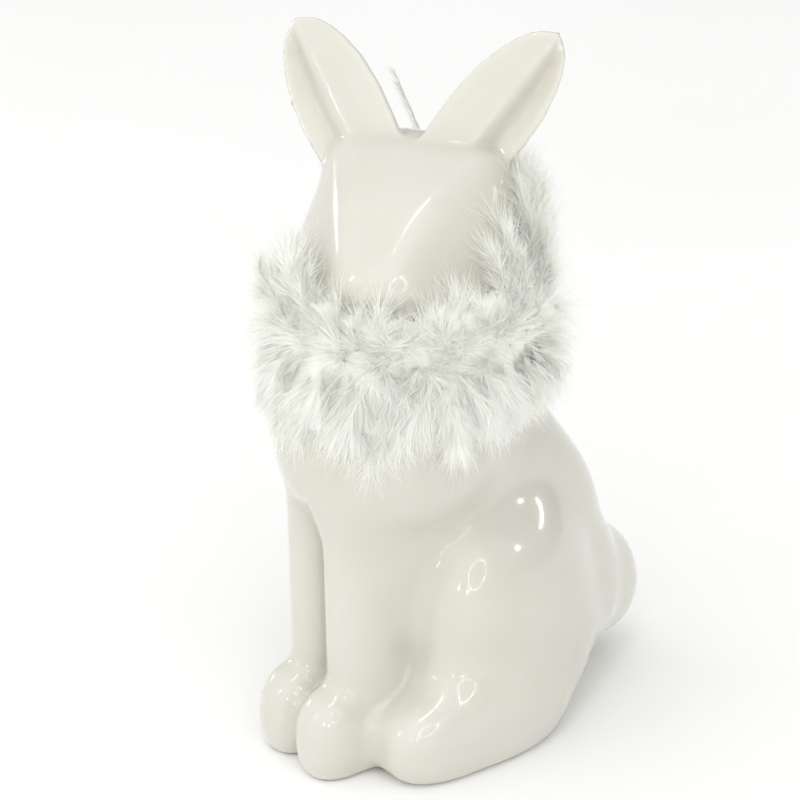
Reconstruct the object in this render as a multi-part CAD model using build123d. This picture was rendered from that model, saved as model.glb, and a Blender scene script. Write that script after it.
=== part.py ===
# Sitting rabbit in glazed earthenware with a plume collar. Millimetres, +Z up.
# The rabbit faces -Y, so its left side is +X. The base lies in the plane Z = 0.
import os
from math import cos, radians, sin

from build123d import *

# ------------------------------------------------------------ driving dimensions
WALL = 4.5                 # wall of the slip-cast shell
DRAIN_D = 12.0             # drain hole in the base
DRAIN_Y = 14.0
HEAD_YAW = 34.0            # the head is turned to the rabbit's left
HEAD_C = (0.0, -22.0, 175.0)
NECK_Y = -21.0             # neck axis: vertical, at X = 0
NECK_R_LOW, NECK_R_TOP = 26.0, 25.0
NECK_Z_LOW, NECK_Z_TOP = 118.0, 166.0

EAR_BASE = (15.8, -2.0, 19.4)      # head frame: lateral, forward, up
EAR_VEC = (24.0, -15.5, 32.0)
EAR_HALF_W = 13.6
EAR_HALF_T = 7.0
EAR_FOLD = 5.2                     # depth of the fold in the open side
EAR_FOLD_AT = 2.5                  # the fold lies nearer the outer edge
EAR_FOLD_RISE = 10.0               # slope of the fold's bottom towards the tip, degrees

CORD_R = 31.0              # ring radius of the collar's cord
CORD_D = 3.4               # cord diameter
CORD_Z = 141.9
PLUMES = 12                # bunches per row
PLUME_GAP = 0.8            # gap between two bunches, degrees
PLUME_TOP_FRONT = 166.0    # the upper row stands lower under the chin than behind the ears
PLUME_TOP_BACK = 188.0
KNOT_AT = 88.0             # place of the tie round the neck, degrees from +X
QUILL_AT = 130.0           # place of the loose quill round the neck
QUILL_GAP = 5.0
QUILL_D = 1.0
VANE_W, VANE_T = 2.6, 0.7

os.makedirs("parts", exist_ok=True)


# ------------------------------------------------------------ helpers
def egg(c, r, yaw=0.0, pitch=0.0):
    """Ellipsoid with centre c and half axes r, turned by pitch about X and then yaw about Z."""
    return Pos(*c) * Rot(0, 0, yaw) * Rot(pitch, 0, 0) * scale(Sphere(1.0), by=r)


def both(c, r, yaw=0.0, pitch=0.0):
    """The ellipsoid and its mirror image in the plane X = 0."""
    return [egg(c, r, yaw, pitch), egg((-c[0], c[1], c[2]), r, -yaw, pitch)]


def head_place(shape):
    """From the head's frame to the part's frame. In the head's frame forward is +Y."""
    return Pos(*HEAD_C) * Rot(0, 0, HEAD_YAW + 180) * shape


def hp(lateral, forward, up):
    """A point of the head: towards its left, forward and up from the head's centre."""
    return (-lateral, forward, up)


def beyond(point, normal, size=160.0):
    """A block that fills the half space beyond a plane."""
    return Plane(origin=point, z_dir=normal) * Pos(0, 0, size / 2) * Box(size, size, size)


# ------------------------------------------------------------ ceramic body
skull = egg(hp(0, 0, -2), (31.5, 36.5, 29.5))
skull += egg(hp(17, 6, -13), (18.7, 22.2, 16.2))                  # cheeks
skull += egg(hp(-17, 6, -13), (18.7, 22.2, 16.2))
skull += egg(hp(0, 22, -12), (14.2, 15.2, 13.2))                  # muzzle
skull -= beyond(hp(0, -1.0, 24.0), (0, 0.607, 0.795))             # forehead plane
skull -= beyond(hp(0, -1.0, 24.2), (0, -0.35, 0.937))             # crown behind the forehead
skull -= beyond(hp(34.6, 0, 0), (-0.705, 0.631, 0.324))           # left cheek plane
skull -= beyond(hp(-34.6, 0, 0), (0.705, 0.631, 0.324))           # right cheek plane


def ear(side):
    """Leaf-shaped ear with a folded open side; side is +1 for the rabbit's left ear."""
    base = Vector(*hp(side * EAR_BASE[0], EAR_BASE[1], EAR_BASE[2]))
    along = Vector(*hp(side * EAR_VEC[0], EAR_VEC[1], EAR_VEC[2]))
    length = along.length
    along = along.normalized()
    face = Vector(*hp(side * 0.08, 1.0, 0.0))
    face = (face - along * face.dot(along)).normalized()          # out of the open side
    across = face.cross(along)
    if across.X * hp(side, 0, 0)[0] < 0:
        across = across * -1                                      # towards the outer edge
    low, top = -0.26, 0.985
    # local frame: X towards the outer edge, Y along the ear, Z out of the open side
    frame = Plane(origin=base, x_dir=across, z_dir=face)
    way = 1 if frame.y_dir.dot(along) > 0 else -1
    leaf = Pos(0, way * (low + top) / 2 * length, -2.5) * scale(
        Sphere(1.0), by=(EAR_HALF_W, (top - low) / 2 * length, EAR_HALF_T))
    outline = Polygon((EAR_FOLD_AT, -EAR_FOLD), (24, 7.0), (24, 30), (-24, 30), (-24, 4.6), align=None)
    wedge = extrude(Plane(origin=(0, 0, 0), x_dir=(1, 0, 0), z_dir=(0, -1, 0)) * outline,
                    amount=90, both=True)
    # the fold is deepest near the ear's foot and runs out towards the tip
    wedge = Pos(0, way * 0.3 * length, 0) * Rot(way * EAR_FOLD_RISE, 0, 0) * wedge
    return frame * (leaf - wedge)


neck = Pos(0, NECK_Y, (NECK_Z_LOW + NECK_Z_TOP) / 2) * Cone(
    NECK_R_LOW, NECK_R_TOP, NECK_Z_TOP - NECK_Z_LOW)

RUMP = ((0, 12, 40), (27.0, 42.2, 51.0))
BACK = ((0, -2, 80), (25.7, 36.7, 50.2))
CHEST = ((0, -29, 107), (34.2, 39.2, 36.2))
SEAT = ((0, 27, 27), (25.0, 27.5, 36.0))
HAUNCH = ((19.5, 2, 37.5), (19.4, 40.8, 47.0))

outer = egg(*RUMP, yaw=7)
outer += egg(*BACK, pitch=25)
outer += egg(*CHEST, yaw=11)
outer += egg(*SEAT, yaw=3)
outer += neck
for half in both(*HAUNCH, yaw=6):
    outer += half
outer += egg((25, -30, 12), (14.9, 26.2, 17.4))                   # hind feet: the right one is set back a little
outer += egg((-25, -26, 12), (14.9, 26.2, 17.4))
for side in (1, -1):                                              # front legs
    outer += loft([
        Pos(side * 9.3, -48.0, 10) * Ellipse(9.0, 12.1),
        Pos(side * 9.3, -47.4, 50) * Ellipse(9.3, 12.6),
        Pos(side * 9.3, -47.0, 96) * Ellipse(9.7, 13.0),
    ])
for paw in both((9.8, -57, 11), (10.7, 15.3, 14.9)):              # front paws
    outer += paw
outer += egg((0, -31, 40), (11.5, 21.0, 52.0), yaw=5)             # web between the front legs and the belly
outer += egg((0, 56.5, 26), (13, 14.5, 19.5), yaw=20)             # tail
outer += head_place(skull)
outer += head_place(ear(1))
outer += head_place(ear(-1))
outer -= Pos(0, 0, -60) * Box(300, 300, 120)                      # flat base


def inset(shape, by):
    return shape[0], tuple(r - by for r in shape[1])


hollow = egg(*inset(RUMP, WALL), yaw=7)
hollow += egg(*inset(BACK, WALL), pitch=25)
hollow += egg(*inset(CHEST, WALL), yaw=11)
hollow += egg(*inset(SEAT, WALL), yaw=3)
for half in both(*inset(HAUNCH, WALL), yaw=6):
    hollow += half
hollow += Pos(0, NECK_Y, 140) * Cone(NECK_R_LOW - WALL, NECK_R_TOP - WALL, 40)
hollow += head_place(egg(hp(0, -2, -6), (20, 22, 17)))
hollow -= Pos(0, 0, -60 + WALL) * Box(300, 300, 120)

body = outer - hollow
body -= Pos(0, DRAIN_Y, 0) * Cylinder(DRAIN_D / 2, 2 * WALL + 8)
export_step(body, "parts/ceramic_body.step")

# ------------------------------------------------------------ plume collar
axis = Axis((0, NECK_Y, 0), (0, 0, 1))
turn = Plane(origin=(0, NECK_Y, 0), x_dir=(1, 0, 0), z_dir=(0, -1, 0))   # local X = radius, local Y = height
cord_circle = Pos(CORD_R, CORD_Z) * Circle(CORD_D / 2)
cord = revolve(turn * cord_circle, axis, revolution_arc=360)

upper_outline = Polygon(
    (29.6, 142.4), (29.9, 146), (32.2, 149), (35.8, 152.5), (38.8, 156), (40.4, 160), (40.9, 166),
    (39.9, 174), (38.4, 181), (37.4, 187), (38.8, 190), (43.2, 180), (46.5, 170), (48.2, 159),
    (48.8, 150), (48.0, 142.4), align=None)
lower_outline = Polygon(
    (29.8, 141.4), (34.0, 137.2), (38.5, 132.6), (42.0, 128), (44.3, 124), (46.2, 120), (47.6, 116),
    (48.4, 112.5), (49.6, 111), (50.4, 116), (50.6, 124), (50.0, 132), (48.0, 141.4),
    align=None)
pitch_deg = (360.0 - QUILL_GAP) / PLUMES
first_deg = QUILL_AT + QUILL_GAP / 2               # the first bunch starts beside the loose quill


def around(deg):
    """Turn about the neck axis."""
    return Pos(0, NECK_Y, 0) * Rot(0, 0, deg) * Pos(0, -NECK_Y, 0)


def tuft(outline, deg, z_mid, half_height):
    """One bunch: a sector of the row, rounded off by an ellipsoid."""
    arc = pitch_deg - PLUME_GAP
    sector = around(deg - arc / 2) * revolve(turn * (outline - cord_circle), axis, revolution_arc=arc)
    puff = around(deg) * Pos(36.8, NECK_Y, z_mid) * scale(Sphere(1.0), by=(13.8, 15.0, half_height))
    return sector & puff


upper, lower = [], []
for i in range(PLUMES):
    deg = first_deg + (i + 0.5) * pitch_deg
    back = 0.5 - 0.5 * cos(radians(deg - (-90.0 + HEAD_YAW)))     # 0 under the chin, 1 behind the head
    top = PLUME_TOP_FRONT + (PLUME_TOP_BACK - PLUME_TOP_FRONT) * back
    upper.append(tuft(upper_outline, deg, 146.0, top - 146.0))
    lower.append(tuft(lower_outline, deg, 133.0, 25.0))

# tie at the nape: the cord's ends in a small knot with two short tails
ka = radians(KNOT_AT)
knot_place = Pos((CORD_R + 2.6) * cos(ka), NECK_Y + (CORD_R + 2.6) * sin(ka), CORD_Z) * Rot(0, 0, KNOT_AT)
knot = knot_place * (
    Pos(1.6, 1.9, 0.2) * scale(Sphere(1.0), by=(2.6, 2.9, 2.5))
    + Pos(1.6, -1.9, -0.2) * scale(Sphere(1.0), by=(2.6, 2.9, 2.5))
    + Pos(3.2, 2.6, -1.6) * Rot(0, 55, 0) * Cylinder(1.0, 6.0)
    + Pos(3.2, -2.6, -1.6) * Rot(0, 55, 0) * Cylinder(1.0, 6.0)
)
knot -= cord
knot_room = knot_place * Pos(3.4, 0, -0.5) * Box(9.6, 11.0, 9.6)
upper = [bunch - knot_room for bunch in upper]
lower = [bunch - knot_room for bunch in lower]


# loose quill that stands up behind the head, with a narrow vane on its upper half
def at(radius, deg, z):
    a = radians(deg)
    return (radius * cos(a), NECK_Y + radius * sin(a), z)


quill_path = Spline(at(32.2, 130, 143.0), at(37.5, 130, 147.5), at(42, 130, 155), at(45.5, 130.5, 165),
                    at(46.5, 133, 176), at(45.8, 140, 187), at(45, 148, 197.5), at(44, 155.5, 206))
quill = sweep(Plane(origin=quill_path @ 0, z_dir=quill_path % 0) * Circle(QUILL_D / 2), quill_path)
vane_path = quill_path.trim(0.56, 0.995)
vane_plane = Plane(origin=vane_path @ 0, x_dir=(-sin(radians(135)), cos(radians(135)), 0), z_dir=vane_path % 0)
vane = sweep(vane_plane * Ellipse(VANE_W / 2, VANE_T / 2), vane_path)
quill = quill + vane - cord

export_step(Compound(children=[s for bunch in upper for s in bunch.solids()]), "parts/upper_plumes.step")
export_step(Compound(children=[s for bunch in lower for s in bunch.solids()]), "parts/lower_plumes.step")
export_step(cord, "parts/collar_cord.step")
export_step(knot, "parts/collar_knot.step")
export_step(quill, "parts/loose_quill.step")
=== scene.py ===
"""Sitting rabbit in ivory glazed ceramic with a white plume collar."""
import math

import bpy
import numpy as np
from mathutils import Matrix, Vector


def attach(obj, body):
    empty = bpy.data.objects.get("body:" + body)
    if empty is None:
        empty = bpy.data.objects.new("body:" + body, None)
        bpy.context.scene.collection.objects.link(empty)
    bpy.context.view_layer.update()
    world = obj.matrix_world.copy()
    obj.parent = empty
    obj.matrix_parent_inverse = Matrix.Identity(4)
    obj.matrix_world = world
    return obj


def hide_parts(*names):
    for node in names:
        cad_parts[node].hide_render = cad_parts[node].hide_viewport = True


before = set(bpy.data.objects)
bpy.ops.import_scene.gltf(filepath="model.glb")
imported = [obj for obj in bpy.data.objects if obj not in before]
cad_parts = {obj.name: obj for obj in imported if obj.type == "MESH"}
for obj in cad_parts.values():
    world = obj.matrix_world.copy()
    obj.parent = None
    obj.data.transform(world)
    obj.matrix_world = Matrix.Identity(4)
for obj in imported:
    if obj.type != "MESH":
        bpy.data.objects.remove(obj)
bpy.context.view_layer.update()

rng = np.random.default_rng(20)
MM = 0.001


# ---------------------------------------------------------------- implicit shape of the rabbit
# Millimetres, +Z up. The rabbit faces -Y and its left is +X.
def smin(a, b, k):
    h = np.clip(0.5 + 0.5 * (b - a) / k, 0, 1)
    return b + (a - b) * h - k * h * (1 - h)


def smax(a, b, k):
    return -smin(-a, -b, k)


def rot(yaw=0.0, pitch=0.0):
    y, p = np.radians([yaw, pitch])
    rz = np.array([[np.cos(y), -np.sin(y), 0], [np.sin(y), np.cos(y), 0], [0, 0, 1]])
    rx = np.array([[1, 0, 0], [0, np.cos(p), -np.sin(p)], [0, np.sin(p), np.cos(p)]])
    return rz @ rx


def ellipsoid(p, c, r, turn=None):
    q = p - np.asarray(c, float)
    if turn is not None:
        q = q @ turn
    r = np.asarray(r, float)
    k0 = np.sqrt(((q / r) ** 2).sum(-1)) + 1e-9
    k1 = np.sqrt(((q / r**2) ** 2).sum(-1)) + 1e-9
    return k0 * (k0 - 1) / k1


def superell(p, c, r, n=2.5, turn=None):
    """A boxier ellipsoid."""
    q = p - np.asarray(c, float)
    if turn is not None:
        q = q @ turn
    r = np.asarray(r, float)
    a = np.abs(q / r) + 1e-9
    k0 = (a**n).sum(-1) ** (1 / n)
    g = (a ** (n - 1)) / r * (k0 ** (1 - n))[..., None]
    return (k0 - 1) / (np.sqrt((g**2).sum(-1)) + 1e-9)


def cone(p, a, b, ra, rb, sx=1.0):
    """A round cone from a to b, squeezed in X by sx."""
    a, b = np.asarray(a, float), np.asarray(b, float)
    q = (p - a) * np.array([1 / sx, 1, 1])
    d = (b - a) * np.array([1 / sx, 1, 1])
    t = np.clip((q @ d) / (d @ d), 0, 1)
    return np.sqrt(((q - t[..., None] * d) ** 2).sum(-1)) - (ra + (rb - ra) * t)


HEAD_C = np.array([0.0, -22.0, 175.0])
HEAD_YAW = math.radians(34.0)
HEAD_L = np.array([math.cos(HEAD_YAW), math.sin(HEAD_YAW), 0.0])
HEAD_F = np.array([math.sin(HEAD_YAW), -math.cos(HEAD_YAW), 0.0])


def to_head(p):
    q = p - HEAD_C
    return np.stack([q @ HEAD_L, q @ HEAD_F, q[..., 2]], -1)


FACE_YAW = math.radians(31.0)
FACE_L = np.array([math.cos(FACE_YAW), math.sin(FACE_YAW), 0.0])
FACE_F = np.array([math.sin(FACE_YAW), -math.cos(FACE_YAW), 0.0])


def head(p):
    q = p - HEAD_C
    h = np.stack([q @ FACE_L, q @ FACE_F, q[..., 2]], -1)
    side = np.stack([np.abs(h[..., 0]), h[..., 1], h[..., 2]], -1)
    d = superell(h, (0, 0, -2), (31, 36, 29), 2.4)
    d = smin(d, ellipsoid(side, (17, 6, -13), (18.5, 22, 16)), 8)
    d = smin(d, ellipsoid(side, (16, 1, 11), (9.5, 16, 12)), 6)
    d = smin(d, ellipsoid(h, (0, 22, -12), (14, 15, 13)), 8)
    down = 0.795 * h[..., 1] - 0.607 * h[..., 2] - 3.5
    fore = 0.607 * h[..., 1] + 0.795 * h[..., 2] - 18.6 + (h[..., 0] ** 2 / 190 + down**2 / 300)
    crown = -0.42 * h[..., 1] + 0.907 * h[..., 2] - 24.6
    cheek = 0.742 * side[..., 0] + 0.578 * h[..., 1] + 0.341 * h[..., 2] - 24.5
    d = smax(d, smax(fore, crown, 13.0), 5.0)
    return smax(d, cheek, 4.0)


EAR_T = np.array([-0.35, 0.0, 0.25, 0.5, 0.7, 0.82, 0.90, 0.95, 0.985, 1.02, 1.2])
EAR_W = np.array([12.0, 13.4, 14.0, 13.4, 11.4, 9.4, 7.4, 5.4, 3.0, 0.0, -20.0])
# across an ear from its inner edge, -1, to its outer edge, 1: a broad face with a ridge, then a groove and the rim
fold_x = np.linspace(-1.3, 1.3, 521)
ridge_y = np.interp(fold_x, [-1.3, -1.0, -0.5, 0.12, 0.38, 1.0, 1.3], [-0.8, 0.1, 1.5, 2.7, 0.4, 0.5, 0.4])
groove_y = np.interp(fold_x, [-1.3, 0.12, 0.38, 0.50, 0.82, 1.3], [0.0, 0.0, -3.4, -3.2, -0.2, 0.0])
for _ in range(3):
    ridge_y = np.convolve(np.pad(ridge_y, 22, mode="edge"), np.ones(45) / 45, "valid")
    groove_y = np.convolve(np.pad(groove_y, 22, mode="edge"), np.ones(45) / 45, "valid")


def ear(h, s):
    q = h * np.array([s, 1, 1])
    if s > 0:
        base, vec, wide, tilt = np.array([14.9, -4.6, 18.3]), np.array([23.8, -15.2, 32.9]), 1.0, 0.08
    else:
        base, vec, wide, tilt = np.array([18.4, -4.6, 18.3]), np.array([24.6, -15.1, 30.7]), 1.08, -0.12
    length = np.linalg.norm(vec)
    w = vec / length
    n = np.array([tilt, 1.0, 0.0])
    n = n - (n @ w) * w
    n /= np.linalg.norm(n)
    u = np.cross(n, w)
    if u[0] < 0:
        u = -u
    r = q - base
    along, across, out = r @ w, r @ u, r @ n
    t = along / length
    hw = np.interp(t, EAR_T, EAR_W) * wide
    x = across / np.maximum(hw, 0.8)
    high = np.interp(t, [-0.3, 0.0, 0.4, 0.7, 0.9, 1.0], [0.8, 1.0, 1.0, 0.8, 0.3, 0.0])
    deep = np.interp(t, [-0.3, 0.0, 0.3, 0.6, 0.8, 0.93, 1.0], [0.3, 0.55, 0.9, 1.1, 0.85, 0.2, 0.0])
    front = (out - 0.3 - high * np.interp(x, fold_x, ridge_y) - deep * np.interp(x, fold_x, groove_y)) * 0.7
    thick = np.interp(t, [-0.3, 0.0, 0.5, 1.0], [10.5, 10.0, 8.0, 3.2])
    kb = np.clip(np.abs(x), 0, 1)
    rear = (-out - (thick * (1 - kb**2.2) + 0.6)) * 0.75
    side = (np.abs(across) - hw) * 0.9
    d = smax(smax(front, rear, 1.8), side, 2.2)
    return smax(d, -(along + 10), 2)


def haunch(p):
    """The thigh: its top lies a little further forward than its foot, and its back is shorter than its front."""
    q = (p - np.array([20.8, 0.6, 36.5])) @ rot(6)
    z = q[..., 2] + 0.09 * q[..., 1]
    y = q[..., 1] + 0.06 * q[..., 2]
    q = np.stack([q[..., 0], y * np.where(y > 0, 35.0 / 31.0, 1.0), z], -1)
    return superell(q, (0, 0, 0), (20.5, 35.0, 43.5), 2.2) * 0.9


def front_leg(p):
    leg = cone(p, (9.3, -46.5, 90), (9.3, -46.5, 12), 14.8, 13.6, 0.66)
    return smin(leg, superell(p, (9.8, -57, 12), (10.5, 15, 17), 2.4), 5)


def rabbit(p):
    pm = np.stack([np.abs(p[..., 0]), p[..., 1], p[..., 2]], -1)
    near = np.clip((p[..., 0] + 3) / 8, 0, 1) * np.clip((p[..., 2] - 45) / 35, 0, 1)
    d = superell(p, (0, 12, 42), (26, 40.5, 50), 2.35)
    d = smin(d, ellipsoid(p, (0, -2, 80), (25.5, 36.5, 50), rot(0, 25)), 14)
    d = smin(d, ellipsoid(p, (0, -29, 107), (33.8, 38.4, 36)), 8)
    d = smin(d, cone(p, (0, -21, 125), (0, -21, 165), 26, 25), 10)
    d = smin(d, ellipsoid(pm, (7.5, -26, 62), (15, 25, 42)), 7)
    back = np.clip((p[..., 1] + 14) / 28, 0, 1)
    d = smin(d, ellipsoid(p, (0, 29, 32), (27, 33, 29)), 8)
    d = smin(d, haunch(pm), 5.0 + 6.0 * back)
    foot = superell(p, (28.5, -22.0, 12), (14.5, 32.0, 17), 2.5)
    foot = np.minimum(foot, superell(p, (-25, -16, 12), (14.5, 29.0, 17), 2.5))
    d = smin(d, foot, 13)
    low = np.clip((40 - p[..., 2]) / 22, 0, 1)
    legs = smin(front_leg(p), front_leg(p * np.array([-1.0, 1.0, 1.0])), 5.0)
    d = smin(d, legs, 3.0 + 7.0 * near + 6.0 * low)
    d = smin(d, ellipsoid(p, (0, 56.5, 25.3), (16, 15.2, 19.6)), 8.5)
    h = to_head(p)
    d = smin(d, head(p), 8)
    d = smin(d, smin(ear(h, 1), ear(h, -1), 1), 1.6)
    return smax(d, -p[..., 2], 2.0)


def gradient(f, p, e):
    eye = np.eye(3) * e
    return np.stack([f(p + eye[k]) - f(p - eye[k]) for k in range(3)], -1) / (2 * e)


def surface_nets(f, lo, hi, h, block=8):
    """Quads on the zero surface of f. Only blocks of cells near the surface are sampled."""
    lo = np.asarray(lo, float)
    nb = np.ceil((np.asarray(hi, float) - lo) / (h * block)).astype(int)
    n = nb * block + 1
    cb = np.stack(np.meshgrid(*[lo[k] + h * block * (np.arange(nb[k]) + 0.5) for k in range(3)], indexing="ij"), -1)
    dc = f(cb.reshape(-1, 3)).reshape(tuple(nb))
    near = np.abs(dc) < h * block * 1.25 + 2.5
    val = np.repeat(np.repeat(np.repeat(dc, block, 0), block, 1), block, 2)
    val = np.pad(val, ((0, 1), (0, 1), (0, 1)), mode="edge").astype(np.float32)
    off = np.stack(np.meshgrid(*[np.arange(block + 1)] * 3, indexing="ij"), -1).reshape(-1, 3)
    cells = np.argwhere(near) * block
    for i in range(0, len(cells), 400):
        ids = (cells[i : i + 400, None, :] + off[None]).reshape(-1, 3)
        val[ids[:, 0], ids[:, 1], ids[:, 2]] = f(lo + h * ids)
    s = val < 0
    count = np.zeros(tuple(n - 1), np.int8)
    corners = [(a, b, c) for a in (0, 1) for b in (0, 1) for c in (0, 1)]
    for a, b, c in corners:
        count += s[a : n[0] - 1 + a, b : n[1] - 1 + b, c : n[2] - 1 + c]
    cell = (count > 0) & (count < 8)
    idx = -np.ones(cell.shape, np.int64)
    ijk = np.argwhere(cell)
    idx[cell] = np.arange(len(ijk))
    acc, num = np.zeros((len(ijk), 3)), np.zeros(len(ijk))
    for c0 in corners:
        for ax in range(3):
            if c0[ax]:
                continue
            c1 = list(c0)
            c1[ax] = 1
            v0 = val[ijk[:, 0] + c0[0], ijk[:, 1] + c0[1], ijk[:, 2] + c0[2]]
            v1 = val[ijk[:, 0] + c1[0], ijk[:, 1] + c1[1], ijk[:, 2] + c1[2]]
            m = (v0 < 0) != (v1 < 0)
            pt = np.array(c0, float) + 0 * ijk
            pt[:, ax] += np.where(m, v0 / np.where(m, v0 - v1, 1), 0)
            acc += pt * m[:, None]
            num += m
    v = lo + h * (ijk + acc / num[:, None])
    for _ in range(3):
        g = gradient(f, v, 0.08)
        gg = (g**2).sum(-1) + 1e-6
        v = v - (np.clip(f(v) / np.sqrt(gg), -h, h) / np.sqrt(gg))[:, None] * g
    faces = []
    for ax in range(3):
        a0, a1 = [slice(None)] * 3, [slice(None)] * 3
        a0[ax], a1[ax] = slice(0, n[ax] - 1), slice(1, n[ax])
        e = np.argwhere(s[tuple(a0)] != s[tuple(a1)])
        o1, o2 = [(1, 2), (2, 0), (0, 1)][ax]
        e = e[(e[:, o1] > 0) & (e[:, o2] > 0) & (e[:, o1] < n[o1] - 1) & (e[:, o2] < n[o2] - 1)]
        neg = s[e[:, 0], e[:, 1], e[:, 2]]
        ring = []
        for d1, d2 in ((1, 1), (0, 1), (0, 0), (1, 0)):
            q = e.copy()
            q[:, o1] -= d1
            q[:, o2] -= d2
            ring.append(idx[q[:, 0], q[:, 1], q[:, 2]])
        quad = np.stack(ring, -1)
        quad[~neg] = quad[~neg][:, ::-1]
        faces.append(quad)
    return v, np.concatenate(faces)


# ---------------------------------------------------------------- mesh helpers
def make_mesh(name, verts_mm, quads, smooth=True):
    """A mesh object from vertices in millimetres and an array of quads or triangles."""
    me = bpy.data.meshes.new(name)
    nv, nf, k = len(verts_mm), len(quads), quads.shape[1]
    me.vertices.add(nv)
    me.vertices.foreach_set("co", (np.asarray(verts_mm) * MM).astype(np.float32).ravel())
    me.loops.add(nf * k)
    me.loops.foreach_set("vertex_index", quads.astype(np.int32).ravel())
    me.polygons.add(nf)
    me.polygons.foreach_set("loop_start", np.arange(0, nf * k, k, dtype=np.int32))
    me.polygons.foreach_set("use_smooth", np.full(nf, smooth))
    me.update()
    me.validate()
    ob = bpy.data.objects.new(name, me)
    bpy.context.scene.collection.objects.link(ob)
    return ob


def point_value(ob, name, values):
    at = ob.data.attributes.new(name, "FLOAT", "POINT")
    at.data.foreach_set("value", np.asarray(values, np.float32))


class Nodes:
    """Short hand for building a node material."""

    def __init__(self, name):
        self.mat = bpy.data.materials.new(name)
        self.mat.use_nodes = True
        self.tree = self.mat.node_tree
        self.bsdf = self.tree.nodes["Principled BSDF"]

    def add(self, kind, **values):
        n = self.tree.nodes.new(kind)
        for k, v in values.items():
            setattr(n, k, v)
        return n

    def link(self, a, b):
        self.tree.links.new(a, b)

    def set(self, **values):
        for k, v in values.items():
            self.bsdf.inputs[k.replace("_", " ")].default_value = v

    def noise(self, scale, detail=2.0, rough=0.5):
        co = self.add("ShaderNodeTexCoord")
        n = self.add("ShaderNodeTexNoise")
        n.inputs["Scale"].default_value = scale
        n.inputs["Detail"].default_value = detail
        n.inputs["Roughness"].default_value = rough
        self.link(co.outputs["Object"], n.inputs["Vector"])
        return n.outputs["Fac"]

    def attribute(self, name):
        return self.add("ShaderNodeAttribute", attribute_name=name).outputs["Fac"]

    def ramp(self, fac, stops):
        r = self.add("ShaderNodeValToRGB")
        el = r.color_ramp.elements
        while len(el) < len(stops):
            el.new(0.5)
        for e, (pos, col) in zip(el, stops):
            e.position = pos
            e.color = (*col, 1.0)
        self.link(fac, r.inputs["Fac"])
        return r.outputs["Color"]

    def mix(self, fac, a, b):
        m = self.add("ShaderNodeMix", data_type="RGBA")
        for socket, value in ((m.inputs["Factor"], fac), (m.inputs["A"], a), (m.inputs["B"], b)):
            if hasattr(value, "is_linked"):
                self.link(value, socket)
            elif isinstance(value, (int, float)):
                socket.default_value = value
            else:
                socket.default_value = (*value, 1.0)
        return m.outputs["Result"]


# ---------------------------------------------------------------- ceramic body
verts, quads = surface_nets(rabbit, (-50, -77, -4), (46, 76, 232), 1.05)
ceramic = make_mesh("rabbit_body", verts, quads)
normal = gradient(rabbit, verts, 0.12)
normal /= np.linalg.norm(normal, axis=1)[:, None] + 1e-9
ceramic.data.normals_split_custom_set_from_vertices(normal.astype(np.float32).tolist())


def around(p, n, reach):
    """Mean of the shape's distance on a ring round each point: low in creases, high on ridges."""
    t1 = np.cross(n, np.where(np.abs(n[:, 2:3]) < 0.8, [[0.0, 0.0, 1.0]], [[1.0, 0.0, 0.0]]))
    t1 /= np.linalg.norm(t1, axis=1)[:, None]
    t2 = np.cross(n, t1)
    out = 0
    for a in np.linspace(0, 2 * np.pi, 6, endpoint=False):
        out = out + rabbit(p + reach * (np.cos(a) * t1 + np.sin(a) * t2))
    return out / 6 / reach


bend = around(verts, normal, 2.2)
point_value(ceramic, "ridge", np.clip(bend * 3.0, 0, 1))
point_value(ceramic, "crease", np.clip(-bend * 3.0, 0, 1))
point_value(ceramic, "bare", np.clip((0.9 - verts[:, 2]) / 0.6, 0, 1))

g = Nodes("ivory_glaze")
cloud = g.noise(28.0, 3.0)
tone = g.ramp(cloud, [(0.30, (0.584, 0.570, 0.494)), (0.55, (0.608, 0.597, 0.524)), (0.80, (0.630, 0.620, 0.550))])
tone = g.mix(g.attribute("crease"), tone, (0.556, 0.534, 0.450))
tone = g.mix(g.attribute("ridge"), tone, (0.652, 0.643, 0.586))
bare = g.attribute("bare")
grain = g.ramp(g.noise(900.0, 2.0), [(0.35, (0.60, 0.55, 0.46)), (0.65, (0.72, 0.67, 0.58))])
g.link(g.mix(bare, tone, grain), g.bsdf.inputs["Base Color"])
rough = g.ramp(g.noise(60.0, 2.0), [(0.3, (0.16, 0.16, 0.16)), (0.7, (0.24, 0.24, 0.24))])
g.link(g.mix(bare, rough, (0.85, 0.85, 0.85)), g.bsdf.inputs["Roughness"])
wave = g.add("ShaderNodeBump")
wave.inputs["Strength"].default_value = 0.05
wave.inputs["Distance"].default_value = 0.0006
g.link(g.noise(95.0, 2.0), wave.inputs["Height"])
g.link(wave.outputs["Normal"], g.bsdf.inputs["Normal"])
g.set(Coat_Weight=0.7, Coat_Roughness=0.03, Coat_IOR=1.5, Subsurface_Weight=0.18, Subsurface_Scale=0.004)
g.bsdf.inputs["Subsurface Radius"].default_value = (1.0, 0.85, 0.6)
ceramic.data.materials.append(g.mat)
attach(ceramic, "rabbit")
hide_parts("ceramic_body")

# ---------------------------------------------------------------- plume collar
# The down stands out from the cord in all directions, so each strand follows a bend that
# starts at the cord and ends on the collar's outline. Angles are taken about the neck, from +X.
NECK = np.array([0.0, -21.0])
CORD_Z = 141.9
TOP_DEG = np.array([-130, -109, -96, -86, -77, -65, -43, -28, -16, -6, 4, 13, 22, 30, 40, 60, 90, 120, 150, 180, 200, 215, 230.0])
TOP_Z = np.array([163, 165, 163, 159, 157, 156, 157, 158, 159, 161, 167, 176, 183, 187, 188, 188, 183, 175, 165, 155, 154, 158, 163.0])
GRID_T = np.radians(np.arange(0, 360, 5.0))
GRID_Z = np.arange(96.0, 200.0, 2.0)


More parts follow.
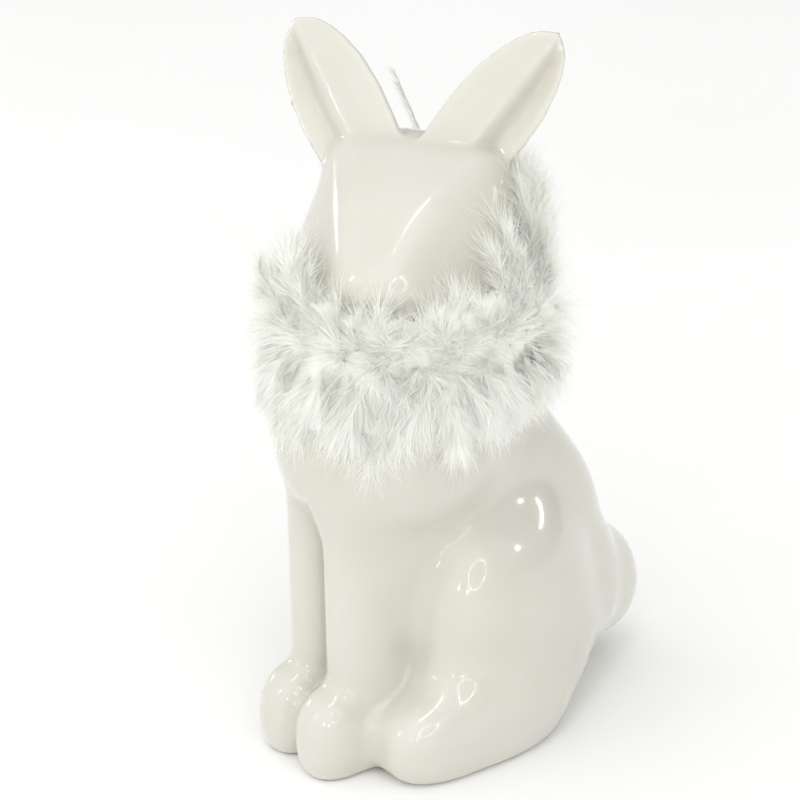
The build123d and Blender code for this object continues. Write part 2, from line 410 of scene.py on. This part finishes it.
def reach_table():
    """How far the ceramic reaches from the neck's axis, by angle and height."""
    r = np.arange(14.0, 62.0, 0.5)
    t, z, rr = np.meshgrid(GRID_T, GRID_Z, r, indexing="ij")
    p = np.stack([NECK[0] + rr * np.cos(t), NECK[1] + rr * np.sin(t), z], -1)
    inside = rabbit(p.reshape(-1, 3)).reshape(t.shape) < 0
    return np.where(inside, rr, 14.0).max(-1)


REACH = reach_table()


def reach(t, z):
    ti = np.mod(t, 2 * np.pi) / np.radians(5.0)
    i = np.floor(ti).astype(int)
    a = ti - i
    zi = np.clip((z - GRID_Z[0]) / 2.0, 0, len(GRID_Z) - 1.001)
    j = np.floor(zi).astype(int)
    b = zi - j
    n = len(GRID_T)
    i0, i1 = i % n, (i + 1) % n
    return (
        REACH[i0, j] * (1 - a) * (1 - b) + REACH[i1, j] * a * (1 - b)
        + REACH[i0, j + 1] * (1 - a) * b + REACH[i1, j + 1] * a * b
    )


def ripple(t, u, seed):
    """A smooth random wave over the collar, about -1 to 1."""
    g = np.random.default_rng(seed)
    out = 0
    for _ in range(9):
        k, m, ph, ph2 = g.integers(3, 15), g.uniform(1, 6), *g.uniform(0, 2 * np.pi, 2)
        out = out + np.sin(k * t + m * u + ph) * np.cos(m * u + ph2)
    return out / 3.2


def outline(t, u):
    """Radius and height of the collar's outline at angle t and place u, -1 at its lower edge and 1 at its top."""
    zt = np.interp(np.degrees(np.mod(t + np.radians(130), 2 * np.pi)) - 130, TOP_DEG, TOP_Z)
    zb = 113.0 + 3.0 * ripple(t, 0 * t, 3)
    zt = zt + 2.0 * ripple(t, 0 * t, 4)
    phi = u * np.pi / 2
    z = CORD_Z + np.where(u > 0, zt - CORD_Z, CORD_Z - zb) * np.sin(phi)
    mid = 47.0 + 1.8 * ripple(t, u * 2, 5)
    end = np.where(u > 0, reach(t, zt) + 2.5, reach(t, zb) + 1.0)
    r = end + (mid - end) * np.cos(phi) ** 0.75
    return np.maximum(r, reach(t, z) + 1.2), z


def soft_normals(p):
    """Outward direction of the collar as one soft mass."""
    t = np.arctan2(p[..., 1] - NECK[1], p[..., 0] - NECK[0])
    n = np.stack([np.cos(t), np.sin(t), 0.9 * np.clip((p[..., 2] - CORD_Z) / 34.0, -1, 1)], -1)
    return n / np.linalg.norm(n, axis=-1)[..., None]


def unit(v):
    return v / (np.linalg.norm(v, axis=-1)[..., None] + 1e-9)


def clear_of_ceramic(pts, gap):
    """Moves the points that are in the ceramic, or nearer than gap, out of it."""
    flat = pts.reshape(-1, 3).copy()
    for _ in range(3):
        d = rabbit(flat)
        bad = np.flatnonzero(d < gap)
        if not len(bad):
            break
        flat[bad] += unit(gradient(rabbit, flat[bad], 0.1)) * (gap * 1.1 - d[bad])[:, None]
    return flat.reshape(pts.shape)


# Each plume has a bent shaft from the cord, with fine barbs all along it.
PLUMES = 460
plume_t = (np.arange(PLUMES) * 0.6180339887 % 1.0) * 2 * np.pi + rng.normal(0, 0.05, PLUMES)
plume_u = np.clip((np.arange(PLUMES) + 0.5) / PLUMES * 2 - 1 + rng.normal(0, 0.04, PLUMES), -1, 1)
r_out, z_out = outline(plume_t, plume_u)
phi = plume_u * np.pi / 2
short = rng.uniform(2.0, 9.0, PLUMES) * (1 - 0.45 * np.abs(plume_u)) - np.where(rng.random(PLUMES) < 0.14, rng.uniform(2.0, 5.0, PLUMES), 0)
droop = rng.uniform(1.0, 13.0, PLUMES) * np.clip(1 - np.abs(plume_u - 0.05) / 0.75, 0, 1)
tip_r, tip_z = r_out - short * np.cos(phi), z_out - short * np.sin(phi) - droop
tip_t = plume_t + rng.normal(0, np.radians(6.0), PLUMES)
bend_r = np.maximum(tip_r, 0.6 * tip_r + 0.4 * 46.0) + rng.normal(0, 1.0, PLUMES)
bend_z = CORD_Z + (tip_z - CORD_Z) * rng.uniform(0.35, 0.6, PLUMES)
plume_roll = rng.normal(0, 0.7, PLUMES)
plume_tone = rng.random(PLUMES)


def shaft(k, s):
    """Points on the shafts of plumes k at places s, 0 at the cord and 1 at the tip."""
    w0, w1, w2 = (1 - s) ** 2, 2 * s * (1 - s), s**2
    r = w0 * 32.5 + w1 * bend_r[k] + w2 * tip_r[k]
    z = w0 * CORD_Z + w1 * bend_z[k] + w2 * tip_z[k]
    t = plume_t[k] * (1 - s) + tip_t[k] * s
    return np.stack([NECK[0] + r * np.cos(t), NECK[1] + r * np.sin(t), z], -1)


def barbs(n, size, spread):
    """Fine curved barbs: points (n, 5, 3), tone, angle about the neck, and plume place."""
    length = np.hypot(tip_r - 32.5, tip_z - CORD_Z) + 6.0
    k = rng.choice(PLUMES, n, p=length / length.sum())
    s = 1.0 - rng.random(n) ** 1.3 * 0.62
    p = shaft(k, s)
    along = unit(shaft(k, s + 0.02) - p)
    out = soft_normals(p)
    side = unit(np.cross(along, out))
    over = np.cross(side, along)
    psi = np.where(rng.random(n) < 0.5, 0, np.pi) + plume_roll[k] + rng.normal(0, 0.8, n)
    across = side * np.cos(psi)[:, None] + over * np.sin(psi)[:, None]
    a = np.abs(rng.normal(0, spread, n)) + 0.12 + 0.25 * (1 - s)
    heading = along * np.cos(a)[:, None] + across * np.sin(a)[:, None]
    size = rng.uniform(*size, n) * (0.75 + 0.5 * rng.random(PLUMES)[k])
    sway = along * 0.30 + unit(rng.normal(size=(n, 3))) * 0.42 + np.array([0, 0, -0.10])
    q = np.linspace(0, 1, 5)[None, :, None]
    pts = p[:, None] + size[:, None, None] * (q * heading[:, None] + 0.55 * q**2 * sway[:, None])
    curl, ph = rng.uniform(0.25, 0.95, n), rng.uniform(0, 2 * np.pi, n)
    wave = np.sin(q[..., 0] * rng.uniform(4.0, 9.0, n)[:, None] + ph[:, None]) * q[..., 0] * curl[:, None]
    pts = pts + wave[..., None] * unit(np.cross(heading, rng.normal(size=(n, 3))))[:, None]
    pts = clear_of_ceramic(pts, 0.45)
    tone = np.clip(0.5 * plume_tone[k] + 0.5 * rng.random(n) + 0.15 * ripple(plume_t[k], plume_u[k], 8), 0, 1)
    return pts, tone, plume_t[k], plume_u[k]


def ribbons(name, pts, tone, half, face_to=None, twist=0.9):
    """Flat tapering strands, all facing outwards."""
    n, m = pts.shape[:2]
    tan = np.gradient(pts, axis=1)
    tan /= np.linalg.norm(tan, axis=2)[..., None] + 1e-9
    out = soft_normals(pts) if face_to is None else np.broadcast_to(face_to, pts.shape)
    side = np.cross(tan, out)
    weak = np.linalg.norm(side, axis=2) < 0.15
    side = np.where(weak[..., None], np.cross(tan, np.array([0.3, 0.2, 0.93])), side)
    side /= np.linalg.norm(side, axis=2)[..., None] + 1e-9
    roll = rng.uniform(-twist, twist, n)[:, None, None]
    face = np.cross(side, tan)
    side = side * np.cos(roll) + face * np.sin(roll)
    face = np.cross(side, tan)
    width = half[:, None] * np.array([1.0, 0.95, 0.8, 0.55, 0.22])[None]
    left, right = pts - side * width[..., None], pts + side * width[..., None]
    v = np.stack([left, right], 2).reshape(-1, 3)
    base = (np.arange(n) * m * 2)[:, None] + np.arange(m - 1)[None] * 2
    q = np.stack([base, base + 1, base + 3, base + 2], -1).reshape(-1, 4)
    ob = make_mesh(name, v, q)
    bins = np.floor(np.clip(tone, 0, 0.999) * 24)
    point_value(ob, "tone", np.repeat((bins + 0.5) / 24, m * 2))
    along = np.tile(np.repeat(np.linspace(0, 1, m), 2), n)
    point_value(ob, "along", along)
    uv = ob.data.uv_layers.new(name="OFBake")
    cell = 1.0 / 24
    u0 = np.repeat(bins * cell, m * 2) + cell * np.where(np.tile([0, 1], n * m) > 0, 0.85, 0.15)
    per_vertex = np.stack([u0, 0.03 + 0.94 * along], -1)
    uv.data.foreach_set("uv", per_vertex[q.ravel()].astype(np.float32).ravel())
    return ob


pl = Nodes("white_down")
shade = pl.ramp(pl.attribute("tone"), [(0.0, (0.930, 0.932, 0.880)), (0.5, (0.948, 0.950, 0.902)), (1.0, (0.968, 0.968, 0.924))])
# the strands are a little darker towards their roots: painted shade of the deep fluff between the strands
painted_shade_root = pl.ramp(pl.attribute("tone"), [(0.0, (0.912, 0.916, 0.856)), (1.0, (0.948, 0.950, 0.898))])
root_shade_fade = pl.ramp(pl.attribute("along"), [(0.0, (0, 0, 0)), (0.55, (1, 1, 1))])
pl.link(pl.mix(root_shade_fade, painted_shade_root, shade), pl.bsdf.inputs["Base Color"])
pl.set(Roughness=0.8, Specular_IOR_Level=0.2, Sheen_Weight=0.2, Sheen_Roughness=0.5)

BARBS = 130000
pts, tone, at_t, at_u = barbs(BARBS, (5.0, 11.0), 0.46)
half = rng.uniform(0.030, 0.058, BARBS)
sector = np.floor(np.mod(at_t, 2 * np.pi) / (np.pi / 2)).astype(int) % 4
for row, pick in (("upper_plumes", at_u >= 0), ("lower_plumes", at_u < 0)):
    for part, letter in enumerate("abcd"):
        m = pick & (sector == part)
        ob = ribbons(f"{row}_{letter}", pts[m], tone[m], half[m])
        ob.data.materials.append(pl.mat)
        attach(ob, "collar")
        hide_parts(row)

# a soft closed core under the strands, so that no gap shows the neck
nt, nu = 180, 44
ct = np.linspace(0, 2 * np.pi, nt, endpoint=False)
cu = np.concatenate([np.linspace(0.55, -0.6, nu // 2), np.linspace(-0.6, 0.55, nu // 2)])
tg, ug = np.meshgrid(ct, cu, indexing="ij")
ro, zo = outline(tg, ug)
ri = np.minimum(reach(tg, zo) + 0.7, ro - 0.3)
outer = np.arange(nu)[None, :] < nu // 2
depth = 0.53 + 0.04 * ripple(tg, ug * 3, 12) + 0.03 * np.sin(41 * tg + 9 * ug)
depth = depth * (1 - 0.45 * np.clip((zo - 152.0) / 22.0, 0, 1))
rc = np.where(outer, ri + (ro - ri) * depth, ri)
zc = np.where(zo > 158, 158 + 0.3 * (zo - 158), zo)
core_v = np.stack([NECK[0] + rc * np.cos(tg), NECK[1] + rc * np.sin(tg), zc * 0.96 + CORD_Z * 0.04], -1).reshape(-1, 3)
core_v = clear_of_ceramic(core_v, 0.4)
i, j = np.meshgrid(np.arange(nt), np.arange(nu), indexing="ij")
core_q = np.stack([i * nu + j, i * nu + (j + 1) % nu, (i + 1) % nt * nu + (j + 1) % nu, (i + 1) % nt * nu + j], -1).reshape(-1, 4)
core = make_mesh("plume_core", core_v, core_q)
dn = Nodes("down_core")
dn.link(dn.ramp(dn.noise(240.0, 4.0), [(0.3, (0.926, 0.929, 0.874)), (0.7, (0.954, 0.956, 0.906))]), dn.bsdf.inputs["Base Color"])
dn.set(Roughness=0.95, Specular_IOR_Level=0.1)
core.data.materials.append(dn.mat)
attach(core, "collar")
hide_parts("upper_plumes", "lower_plumes")

# ---------------------------------------------------------------- loose feather behind the head
QUILL = np.array([
    (32.2, 130, 143), (37.5, 130, 147.5), (42, 130, 155), (45.5, 130.5, 165),
    (46.5, 133, 176), (45.8, 140, 187), (45, 148, 197.5), (44, 155.5, 206),
])
qr, qa, qz = QUILL[:, 0], np.radians(QUILL[:, 1]), QUILL[:, 2]
way = np.stack([NECK[0] + qr * np.cos(qa), NECK[1] + qr * np.sin(qa), qz], -1)
place = np.concatenate([[0], np.cumsum(np.linalg.norm(np.diff(way, axis=0), axis=1))])
place /= place[-1]
curve = [np.polyfit(place, way[:, k], 5) for k in range(3)]


VANE_SIDE = np.array([0.616, 0.788, 0.0])


def quill_at(s):
    straight = np.interp(s, [0, 0.5, 0.6, 0.7, 0.8, 0.9, 1.0], [0, -1.3, -1.45, -0.6, 0.9, 2.6, 4.0])
    return np.stack([np.polyval(c, s) for c in curve], -1) + np.asarray(straight)[..., None] * VANE_SIDE


ns, nr = 70, 8
ss = np.linspace(0, 0.985, ns)
qp = quill_at(ss)
qt = unit(np.gradient(qp, axis=0))
n1 = unit(np.cross(qt, VANE_SIDE))
n2 = np.cross(n1, qt)
qa_ = np.linspace(0, 2 * np.pi, nr, endpoint=False)
rad = np.interp(ss, [0, 0.5, 1], [0.40, 0.22, 0.08])
tube = qp[:, None] + rad[:, None, None] * (np.cos(qa_)[None, :, None] * n1[:, None] + np.sin(qa_)[None, :, None] * n2[:, None])
i, j = np.meshgrid(np.arange(ns - 1), np.arange(nr), indexing="ij")
tube_q = np.stack([i * nr + j, i * nr + (j + 1) % nr, (i + 1) * nr + (j + 1) % nr, (i + 1) * nr + j], -1).reshape(-1, 4)
quill = make_mesh("loose_quill_shaft", tube.reshape(-1, 3), tube_q)
point_value(quill, "along", np.repeat(ss, nr))
qm = Nodes("quill_horn")
horn = qm.ramp(qm.attribute("along"), [(0.0, (0.72, 0.71, 0.67)), (0.6, (0.64, 0.64, 0.62)), (1.0, (0.78, 0.78, 0.76))])
qm.link(qm.mix(qm.ramp(qm.noise(700.0, 2.0), [(0.4, (0, 0, 0)), (0.6, (0.25, 0.25, 0.25))]), horn, (0.80, 0.80, 0.77)), qm.bsdf.inputs["Base Color"])
qm.set(Roughness=0.45)
quill.data.materials.append(qm.mat)

nb = 620
sb = 0.30 + 0.69 * rng.random(nb)
left = rng.random(nb) < 0.72
root_p = quill_at(sb)
root_t = unit(quill_at(sb + 0.01) - quill_at(sb))
reach_b = np.where(left, rng.uniform(2.8, 4.2, nb), rng.uniform(0.5, 1.0, nb)) * np.interp(sb, [0.3, 0.5, 0.85, 1.0], [0.6, 1.0, 1.0, 0.55])
lean = rng.normal(np.radians(40), 0.12, nb)
head_b = root_t * np.cos(lean)[:, None] + np.where(left, -1, 1)[:, None] * VANE_SIDE * np.sin(lean)[:, None]
head_b = unit(head_b + rng.normal(0, 0.10, (nb, 3)))
tips = sb > 0.9
reach_b = np.where(tips, reach_b * rng.uniform(1.0, 2.0, nb), reach_b)
head_b = np.where(tips[:, None], unit(head_b + rng.normal(0, 0.28, (nb, 3))), head_b)
q = np.linspace(0, 1, 5)[None, :, None]
vane_p = root_p[:, None] + reach_b[:, None, None] * (q * head_b[:, None] + 0.25 * q**2 * root_t[:, None])
vane = ribbons("loose_quill_vane", clear_of_ceramic(vane_p, 0.3), 0.5 + 0.5 * rng.random(nb), np.full(nb, 0.055), face_to=unit(np.array([0.35, -0.35, 0.87])), twist=0.25)
vane.data.materials.append(pl.mat)
for ob in (quill, vane):
    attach(ob, "collar")
    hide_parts("loose_quill")

# ---------------------------------------------------------------- cord and knot
c = Nodes("cotton_cord")
twist = c.add("ShaderNodeTexWave")
twist.inputs["Scale"].default_value = 260.0
twist.inputs["Distortion"].default_value = 2.0
co = c.add("ShaderNodeTexCoord")
c.link(co.outputs["Object"], twist.inputs["Vector"])
c.link(c.ramp(twist.outputs["Fac"], [(0.2, (0.52, 0.50, 0.45)), (0.8, (0.74, 0.72, 0.66))]), c.bsdf.inputs["Base Color"])
c.set(Roughness=0.85)
for node in ("collar_cord", "collar_knot"):
    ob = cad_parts[node]
    ob.data.materials.clear()
    ob.data.materials.append(c.mat)

# ---------------------------------------------------------------- floor, light and camera
CAMERA_AZ, CAMERA_EL, CAMERA_D = 52.0, 24.0, 0.75
AIM = Vector((0.0, -0.026, 0.1138))


def direction(az, el):
    a, e = math.radians(az), math.radians(el)
    return Vector((math.sin(a) * math.cos(e), -math.cos(a) * math.cos(e), math.sin(e)))


floor_me = bpy.data.meshes.new("floor")
floor_me.from_pydata([(-6, -6, 0), (6, -6, 0), (6, 6, 0), (-6, 6, 0)], [], [(0, 1, 2, 3)])
floor = bpy.data.objects.new("floor", floor_me)
bpy.context.scene.collection.objects.link(floor)
f = Nodes("pale_floor")
f.link(f.ramp(f.noise(3.0, 2.0), [(0.3, (0.90, 0.90, 0.89)), (0.7, (0.92, 0.92, 0.915))]), f.bsdf.inputs["Base Color"])
f.set(Roughness=0.9, Specular_IOR_Level=0.1)
floor_me.materials.append(f.mat)

world = bpy.data.worlds.new("studio")
bpy.context.scene.world = world
world.use_nodes = True
wt = world.node_tree
bg = wt.nodes["Background"]
wco = wt.nodes.new("ShaderNodeTexCoord")
facing = wt.nodes.new("ShaderNodeVectorMath")
facing.operation = "DOT_PRODUCT"
facing.inputs[1].default_value = direction(-4, 50)
wr = wt.nodes.new("ShaderNodeValToRGB")
span = wt.nodes.new("ShaderNodeMapRange")
span.inputs["From Min"].default_value, span.inputs["From Max"].default_value = -1.0, 1.0
wt.links.new(wco.outputs["Generated"], facing.inputs[0])
wt.links.new(facing.outputs["Value"], span.inputs["Value"])
wt.links.new(span.outputs["Result"], wr.inputs["Fac"])
wr.color_ramp.elements[0].position, wr.color_ramp.elements[0].color = 0.12, (0.17, 0.17, 0.17, 1)
wr.color_ramp.elements[1].position, wr.color_ramp.elements[1].color = 1.0, (1.0, 1.0, 1.0, 1)
wt.links.new(wr.outputs["Color"], bg.inputs["Color"])
bg.inputs["Strength"].default_value = 1.28


def lamp(name, at, start, end, dist, width, radiance):
    """An oval lamp whose light comes to a point, in millimetres, from start to end, each an azimuth and an elevation."""
    d0, d1 = direction(*start), direction(*end)
    mid = (d0 + d1).normalized()
    side = d1 - d0 if (d1 - d0).length > 1e-3 else Vector((0, 0, 1)).cross(mid)
    side = (side - mid * side.dot(mid)).normalized()
    data = bpy.data.lights.new(name, "AREA")
    data.shape = "ELLIPSE"
    data.size = max(width, (d1 - d0).length * dist)
    data.size_y = width
    data.energy = radiance * math.pi * math.pi * data.size * data.size_y / 4
    ob = bpy.data.objects.new(name, data)
    ob.location = Vector(at) * MM + mid * dist
    ob.rotation_mode = "QUATERNION"
    ob.rotation_quaternion = Matrix((side, mid.cross(side), mid)).transposed().to_quaternion()
    bpy.context.scene.collection.objects.link(ob)
    ob.visible_camera = False
    return ob


lamp("fill_lamp", (0, -10, 90), (42, 44), (42, 44), 1.6, 1.6, 0.40)
lamp("right_lamp", (31, 6, 75), (144, 15), (152, 15), 1.2, 0.07, 11)
lamp("side_lamp", (35, -8, 71), (129, 20), (129, 20), 1.2, 0.13, 11)
lamp("ridge_lamp", (20, -30, 184), (28, 60), (72, 73), 1.3, 0.08, 12)
lamp("front_lamp", (17, -67, 21), (58, 9), (58, 9), 1.3, 0.10, 12)
lamp("left_lamp", (36, -50, 19), (37, 14), (37, 14), 1.2, 0.10, 12)
lamp("ear_lamp", (-26, -31, 203), (-4, 24), (-12, 10), 1.2, 0.06, 12)
lamp("far_left_lamp", (0, -47, 180), (-80, 8), (-66, 7), 1.2, 0.10, 12)

# a ring lamp beside the camera, which the glaze shows as a small thin circle
ring_me = bpy.data.meshes.new("ring_lamp")
rt, rs = np.meshgrid(np.linspace(0, 2 * np.pi, 64, endpoint=False), np.linspace(0, 2 * np.pi, 8, endpoint=False), indexing="ij")
ring_v = np.stack([(0.12 + 0.005 * np.cos(rs)) * np.cos(rt), (0.12 + 0.005 * np.cos(rs)) * np.sin(rt), 0.005 * np.sin(rs)], -1).reshape(-1, 3)
ri_, rj_ = np.meshgrid(np.arange(64), np.arange(8), indexing="ij")
ring_q = np.stack([ri_ * 8 + rj_, (ri_ + 1) % 64 * 8 + rj_, (ri_ + 1) % 64 * 8 + (rj_ + 1) % 8, ri_ * 8 + (rj_ + 1) % 8], -1).reshape(-1, 4)
ring_me.from_pydata(ring_v.tolist(), [], ring_q.tolist())
ring = bpy.data.objects.new("ring_lamp", ring_me)
bpy.context.scene.collection.objects.link(ring)
ring.location = Vector((0.034, -0.023, 0.067)) + direction(70, 21) * 0.45
ring.rotation_mode = "QUATERNION"
ring.rotation_quaternion = direction(70, 21).to_track_quat("Z", "Y")
ring.visible_camera = False
rl = Nodes("ring_light")
rl.set(Base_Color=(1, 1, 1, 1), Emission_Color=(1, 1, 1, 1), Emission_Strength=9.0)
ring_me.materials.append(rl.mat)

cam = bpy.data.cameras.new("camera")
cam_ob = bpy.data.objects.new("camera", cam)
bpy.context.scene.collection.objects.link(cam_ob)
cam.lens, cam.sensor_width = 110.0, 36.0
cam_ob.location = AIM + direction(CAMERA_AZ, CAMERA_EL) * CAMERA_D
cam_ob.rotation_mode = "QUATERNION"
cam_ob.rotation_quaternion = direction(CAMERA_AZ, CAMERA_EL).to_track_quat("Z", "Y")
bpy.context.scene.camera = cam_ob
bpy.context.scene.view_settings.view_transform = "Standard"
